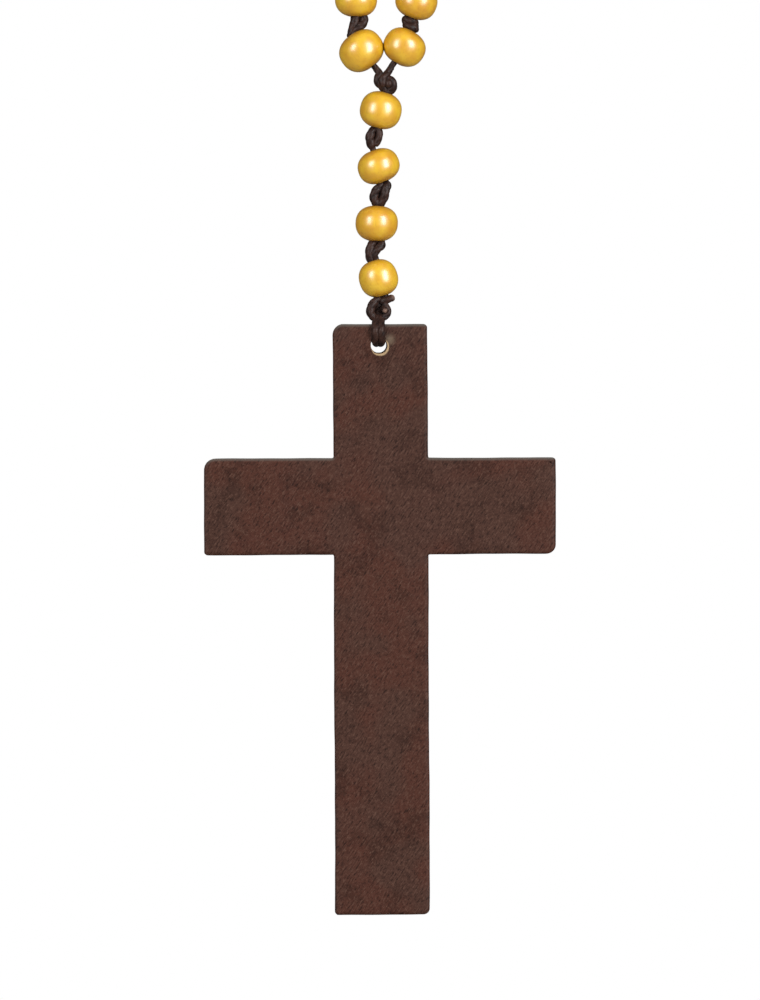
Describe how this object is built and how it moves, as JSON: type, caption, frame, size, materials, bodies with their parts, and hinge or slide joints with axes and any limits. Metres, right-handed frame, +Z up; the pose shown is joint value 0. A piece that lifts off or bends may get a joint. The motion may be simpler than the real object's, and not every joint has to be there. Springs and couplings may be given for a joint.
{
  "type": "rosary",
  "caption": "Knotted rosary: round lacquered wooden beads that turn on a dark waxed cord, a hanging string of beads, and a flat dark wooden cross on a cord bight.",
  "frame": {"origin": "the middle of the cord at the top of the loop, where a neck, a hand or a peg carries it", "axes": "+Z up, towards the support; the cross hangs towards -Z; +X is to the right seen from the front; -Y is the front"},
  "size_m": [0.0836, 0.0086, 0.4298],
  "materials": {
    "bead": "clear gloss lacquer over golden yellow wood",
    "cord": "waxed dark brown twisted cotton",
    "cross": "thin dark red-brown stain, satin, worn pale at the hanging hole"
  },
  "bodies": {
    "loop_top": {"loop_cord_top": "cord", "top_beads": "bead"},
    "loop_middle": {"loop_cord_middle_left": "cord", "loop_cord_middle_right": "cord"},
    "loop_bottom": {"loop_cord_bottom_left": "cord", "loop_cord_bottom_right": "cord", "join_knot": "cord"},
    "pendant_cord_1": {"pendant_cord_1": "cord"},
    "pendant_cord_2": {"pendant_cord_2": "cord"},
    "pendant_cord_3": {"pendant_cord_3": "cord"},
    "pendant_cord_4": {"pendant_cord_4": "cord"},
    "pendant_knot_1": {"pendant_knot_1": "cord"},
    "pendant_knot_2": {"pendant_knot_2": "cord"},
    "pendant_knot_3": {"pendant_knot_3": "cord"},
    "cross_knot": {"cross_knot": "cord"},
    "cross_bight": {"cross_bight": "cord"},
    "cross": {"cross": "cross"},
    "left_bead_01": {"left_bead_01": "bead"},
    "left_bead_02": {"left_bead_02": "bead"},
    "left_bead_03": {"left_bead_03": "bead"},
    "left_bead_04": {"left_bead_04": "bead"},
    "left_bead_05": {"left_bead_05": "bead"},
    "left_bead_06": {"left_bead_06": "bead"},
    "left_bead_07": {"left_bead_07": "bead"},
    "left_bead_08": {"left_bead_08": "bead"},
    "left_bead_09": {"left_bead_09": "bead"},
    "left_bead_10": {"left_bead_10": "bead"},
    "left_bead_11": {"left_bead_11": "bead"},
    "left_bead_12": {"left_bead_12": "bead"},
    "left_bead_13": {"left_bead_13": "bead"},
    "left_bead_14": {"left_bead_14": "bead"},
    "left_bead_15": {"left_bead_15": "bead"},
    "left_bead_16": {"left_bead_16": "bead"},
    "left_bead_17": {"left_bead_17": "bead"},
    "left_bead_18": {"left_bead_18": "bead"},
    "left_bead_19": {"left_bead_19": "bead"},
    "pendant_bead_1": {"pendant_bead_1": "bead"},
    "pendant_bead_2": {"pendant_bead_2": "bead"},
    "pendant_bead_3": {"pendant_bead_3": "bead"},
    "pendant_bead_4": {"pendant_bead_4": "bead"},
    "right_bead_01": {"right_bead_01": "bead"},
    "right_bead_02": {"right_bead_02": "bead"},
    "right_bead_03": {"right_bead_03": "bead"},
    "right_bead_04": {"right_bead_04": "bead"},
    "right_bead_05": {"right_bead_05": "bead"},
    "right_bead_06": {"right_bead_06": "bead"},
    "right_bead_07": {"right_bead_07": "bead"},
    "right_bead_08": {"right_bead_08": "bead"},
    "right_bead_09": {"right_bead_09": "bead"},
    "right_bead_10": {"right_bead_10": "bead"},
    "right_bead_11": {"right_bead_11": "bead"},
    "right_bead_12": {"right_bead_12": "bead"},
    "right_bead_13": {"right_bead_13": "bead"},
    "right_bead_14": {"right_bead_14": "bead"},
    "right_bead_15": {"right_bead_15": "bead"},
    "right_bead_16": {"right_bead_16": "bead"},
    "right_bead_17": {"right_bead_17": "bead"},
    "right_bead_18": {"right_bead_18": "bead"},
    "right_bead_19": {"right_bead_19": "bead"}
  },
  "joints": [
    {"name": "bend_1_side", "type": "hinge", "parent": "loop_bottom", "child": "pendant_cord_1", "pos_m": [0.00122, 0, -0.2666], "axis": [0, 1, 0], "range_deg": [-15, 15]},
    {"name": "bend_1_forward", "type": "hinge", "parent": "pendant_cord_1", "child": "pendant_knot_1", "pos_m": [-0.00075, 0, -0.2735], "axis": [1, 0, 0], "range_deg": [-15, 15]},
    {"name": "bend_2_side", "type": "hinge", "parent": "pendant_knot_1", "child": "pendant_cord_2", "pos_m": [-0.00122, 0, -0.2774], "axis": [0, 1, 0], "range_deg": [-15, 15]},
    {"name": "bend_2_forward", "type": "hinge", "parent": "pendant_cord_2", "child": "pendant_knot_2", "pos_m": [0.00135, 0, -0.284], "axis": [1, 0, 0], "range_deg": [-15, 15]},
    {"name": "bend_3_side", "type": "hinge", "parent": "pendant_knot_2", "child": "pendant_cord_3", "pos_m": [-0.00005, 0, -0.2885], "axis": [0, 1, 0], "range_deg": [-15, 15]},
    {"name": "bend_3_forward", "type": "hinge", "parent": "pendant_cord_3", "child": "pendant_knot_3", "pos_m": [-0.00045, 0, -0.2955], "axis": [1, 0, 0], "range_deg": [-15, 15]},
    {"name": "bend_4_side", "type": "hinge", "parent": "pendant_knot_3", "child": "pendant_cord_4", "pos_m": [-0.0009, 0, -0.2993], "axis": [0, 1, 0], "range_deg": [-15, 15]},
    {"name": "bend_4_forward", "type": "hinge", "parent": "pendant_cord_4", "child": "cross_knot", "pos_m": [0.00135, 0, -0.3063], "axis": [1, 0, 0], "range_deg": [-15, 15]},
    {"name": "bight_tilt", "type": "hinge", "parent": "cross_knot", "child": "cross_bight", "pos_m": [0.0001, 0, -0.3096], "axis": [1, 0, 0], "range_deg": [-15, 15]},
    {"name": "cross_swing", "type": "hinge", "parent": "cross_bight", "child": "cross", "pos_m": [-0.0001, 0, -0.31538], "axis": [0, 1, 0], "range_deg": [-15, 15]},
    {"name": "fold_lower", "type": "hinge", "parent": "loop_middle", "child": "loop_bottom", "pos_m": [0, 0, -0.1802], "axis": [1, 0, 0], "range_deg": [-35, 35]},
    {"name": "fold_upper", "type": "hinge", "parent": "loop_top", "child": "loop_middle", "pos_m": [0, 0, -0.0956], "axis": [1, 0, 0], "range_deg": [-35, 35]},
    {"name": "spin_left_bead_01", "type": "hinge", "parent": "loop_bottom", "child": "left_bead_01", "pos_m": [-0.0033, 0, -0.25846], "axis": [-0.6128, 0, 0.7902], "continuous": true},
    {"name": "spin_left_bead_02", "type": "hinge", "parent": "loop_bottom", "child": "left_bead_02", "pos_m": [-0.00457, 0, -0.24857], "axis": [0.0465, 0, 0.9989], "continuous": true},
    {"name": "spin_left_bead_03", "type": "hinge", "parent": "loop_bottom", "child": "left_bead_03", "pos_m": [-0.00517, 0, -0.2377], "axis": [-0.1329, 0, 0.9911], "continuous": true},
    {"name": "spin_left_bead_04", "type": "hinge", "parent": "loop_bottom", "child": "left_bead_04", "pos_m": [-0.0067, 0, -0.2269], "axis": [-0.1499, 0, 0.9887], "continuous": true},
    {"name": "spin_left_bead_05", "type": "hinge", "parent": "loop_bottom", "child": "left_bead_05", "pos_m": [-0.00839, 0, -0.21611], "axis": [-0.1573, 0, 0.9876], "continuous": true},
    {"name": "spin_left_bead_06", "type": "hinge", "parent": "loop_bottom", "child": "left_bead_06", "pos_m": [-0.01021, 0, -0.20536], "axis": [-0.1769, 0, 0.9842], "continuous": true},
    {"name": "spin_left_bead_07", "type": "hinge", "parent": "loop_bottom", "child": "left_bead_07", "pos_m": [-0.01225, 0, -0.19463], "axis": [-0.194, 0, 0.981], "continuous": true},
    {"name": "spin_left_bead_08", "type": "hinge", "parent": "loop_bottom", "child": "left_bead_08", "pos_m": [-0.01436, 0, -0.18393], "axis": [-0.194, 0, 0.981], "continuous": true},
    {"name": "spin_left_bead_09", "type": "hinge", "parent": "loop_middle", "child": "left_bead_09", "pos_m": [-0.01647, 0, -0.17318], "axis": [-0.1913, 0, 0.9815], "continuous": true},
    {"name": "spin_left_bead_10", "type": "hinge", "parent": "loop_middle", "child": "left_bead_10", "pos_m": [-0.01852, 0, -0.16267], "axis": [-0.1901, 0, 0.9818], "continuous": true},
    {"name": "spin_left_bead_11", "type": "hinge", "parent": "loop_middle", "child": "left_bead_11", "pos_m": [-0.02053, 0, -0.15214], "axis": [-0.1851, 0, 0.9827], "continuous": true},
    {"name": "spin_left_bead_12", "type": "hinge", "parent": "loop_middle", "child": "left_bead_12", "pos_m": [-0.02248, 0, -0.14161], "axis": [-0.1802, 0, 0.9836], "continuous": true},
    {"name": "spin_left_bead_13", "type": "hinge", "parent": "loop_middle", "child": "left_bead_13", "pos_m": [-0.02439, 0, -0.13107], "axis": [-0.1746, 0, 0.9846], "continuous": true},
    {"name": "spin_left_bead_14", "type": "hinge", "parent": "loop_middle", "child": "left_bead_14", "pos_m": [-0.02621, 0, -0.12051], "axis": [-0.165, 0, 0.9863], "continuous": true},
    {"name": "spin_left_bead_15", "type": "hinge", "parent": "loop_middle", "child": "left_bead_15", "pos_m": [-0.02793, 0, -0.10994], "axis": [-0.1565, 0, 0.9877], "continuous": true},
    {"name": "spin_left_bead_16", "type": "hinge", "parent": "loop_middle", "child": "left_bead_16", "pos_m": [-0.0296, 0, -0.09935], "axis": [-0.1565, 0, 0.9877], "continuous": true},
    {"name": "spin_left_bead_17", "type": "hinge", "parent": "loop_top", "child": "left_bead_17", "pos_m": [-0.0312, 0, -0.08852], "axis": [-0.1395, 0, 0.9902], "continuous": true},
    {"name": "spin_left_bead_18", "type": "hinge", "parent": "loop_top", "child": "left_bead_18", "pos_m": [-0.03267, 0, -0.07809], "axis": [-0.1383, 0, 0.9904], "continuous": true},
    {"name": "spin_left_bead_19", "type": "hinge", "parent": "loop_top", "child": "left_bead_19", "pos_m": [-0.03408, 0, -0.06765], "axis": [-0.1296, 0, 0.9916], "continuous": true},
    {"name": "spin_pendant_bead_1", "type": "hinge", "parent": "pendant_cord_1", "child": "pendant_bead_1", "pos_m": [0.00023, 0, -0.27005], "axis": [0.2745, 0, 0.9616], "continuous": true},
    {"name": "spin_pendant_bead_2", "type": "hinge", "parent": "pendant_cord_2", "child": "pendant_bead_2", "pos_m": [0.00006, 0, -0.2807], "axis": [-0.3629, 0, 0.9318], "continuous": true},
    {"name": "spin_pendant_bead_3", "type": "hinge", "parent": "pendant_cord_3", "child": "pendant_bead_3", "pos_m": [-0.00025, 0, -0.292], "axis": [0.0571, 0, 0.9984], "continuous": true},
    {"name": "spin_pendant_bead_4", "type": "hinge", "parent": "pendant_cord_4", "child": "pendant_bead_4", "pos_m": [0.00022, 0, -0.3028], "axis": [-0.306, 0, 0.952], "continuous": true},
    {"name": "spin_right_bead_01", "type": "hinge", "parent": "loop_bottom", "child": "right_bead_01", "pos_m": [0.00482, 0, -0.25779], "axis": [0.5291, 0, 0.8486], "continuous": true},
    {"name": "spin_right_bead_02", "type": "hinge", "parent": "loop_bottom", "child": "right_bead_02", "pos_m": [0.0073, 0, -0.24889], "axis": [0.3672, 0, 0.9302], "continuous": true},
    {"name": "spin_right_bead_03", "type": "hinge", "parent": "loop_bottom", "child": "right_bead_03", "pos_m": [0.00976, 0, -0.23822], "axis": [0.1182, 0, 0.993], "continuous": true},
    {"name": "spin_right_bead_04", "type": "hinge", "parent": "loop_bottom", "child": "right_bead_04", "pos_m": [0.01115, 0, -0.22731], "axis": [0.1347, 0, 0.9909], "continuous": true},
    {"name": "spin_right_bead_05", "type": "hinge", "parent": "loop_bottom", "child": "right_bead_05", "pos_m": [0.01265, 0, -0.21642], "axis": [0.1419, 0, 0.9899], "continuous": true},
    {"name": "spin_right_bead_06", "type": "hinge", "parent": "loop_bottom", "child": "right_bead_06", "pos_m": [0.01435, 0, -0.20555], "axis": [0.1677, 0, 0.9858], "continuous": true},
    {"name": "spin_right_bead_07", "type": "hinge", "parent": "loop_bottom", "child": "right_bead_07", "pos_m": [0.01633, 0, -0.19474], "axis": [0.1873, 0, 0.9823], "continuous": true},
    {"name": "spin_right_bead_08", "type": "hinge", "parent": "loop_bottom", "child": "right_bead_08", "pos_m": [0.01839, 0, -0.18393], "axis": [0.1873, 0, 0.9823], "continuous": true},
    {"name": "spin_right_bead_09", "type": "hinge", "parent": "loop_middle", "child": "right_bead_09", "pos_m": [0.02035, 0, -0.17316], "axis": [0.1748, 0, 0.9846], "continuous": true},
    {"name": "spin_right_bead_10", "type": "hinge", "parent": "loop_middle", "child": "right_bead_10", "pos_m": [0.02221, 0, -0.16266], "axis": [0.1726, 0, 0.985], "continuous": true},
    {"name": "spin_right_bead_11", "type": "hinge", "parent": "loop_middle", "child": "right_bead_11", "pos_m": [0.024, 0, -0.15215], "axis": [0.1625, 0, 0.9867], "continuous": true},
    {"name": "spin_right_bead_12", "type": "hinge", "parent": "loop_middle", "child": "right_bead_12", "pos_m": [0.02568, 0, -0.14161], "axis": [0.1524, 0, 0.9883], "continuous": true},
    {"name": "spin_right_bead_13", "type": "hinge", "parent": "loop_middle", "child": "right_bead_13", "pos_m": [0.02728, 0, -0.13107], "axis": [0.1466, 0, 0.9892], "continuous": true},
    {"name": "spin_right_bead_14", "type": "hinge", "parent": "loop_middle", "child": "right_bead_14", "pos_m": [0.02879, 0, -0.12051], "axis": [0.1379, 0, 0.9905], "continuous": true},
    {"name": "spin_right_bead_15", "type": "hinge", "parent": "loop_middle", "child": "right_bead_15", "pos_m": [0.03022, 0, -0.10994], "axis": [0.1301, 0, 0.9915], "continuous": true},
    {"name": "spin_right_bead_16", "type": "hinge", "parent": "loop_middle", "child": "right_bead_16", "pos_m": [0.03161, 0, -0.09937], "axis": [0.1301, 0, 0.9915], "continuous": true},
    {"name": "spin_right_bead_17", "type": "hinge", "parent": "loop_top", "child": "right_bead_17", "pos_m": [0.033, 0, -0.08851], "axis": [0.1253, 0, 0.9921], "continuous": true},
    {"name": "spin_right_bead_18", "type": "hinge", "parent": "loop_top", "child": "right_bead_18", "pos_m": [0.03431, 0, -0.07805], "axis": [0.1231, 0, 0.9924], "continuous": true},
    {"name": "spin_right_bead_19", "type": "hinge", "parent": "loop_top", "child": "right_bead_19", "pos_m": [0.03553, 0, -0.06759], "axis": [0.107, 0, 0.9943], "continuous": true}
  ]
}
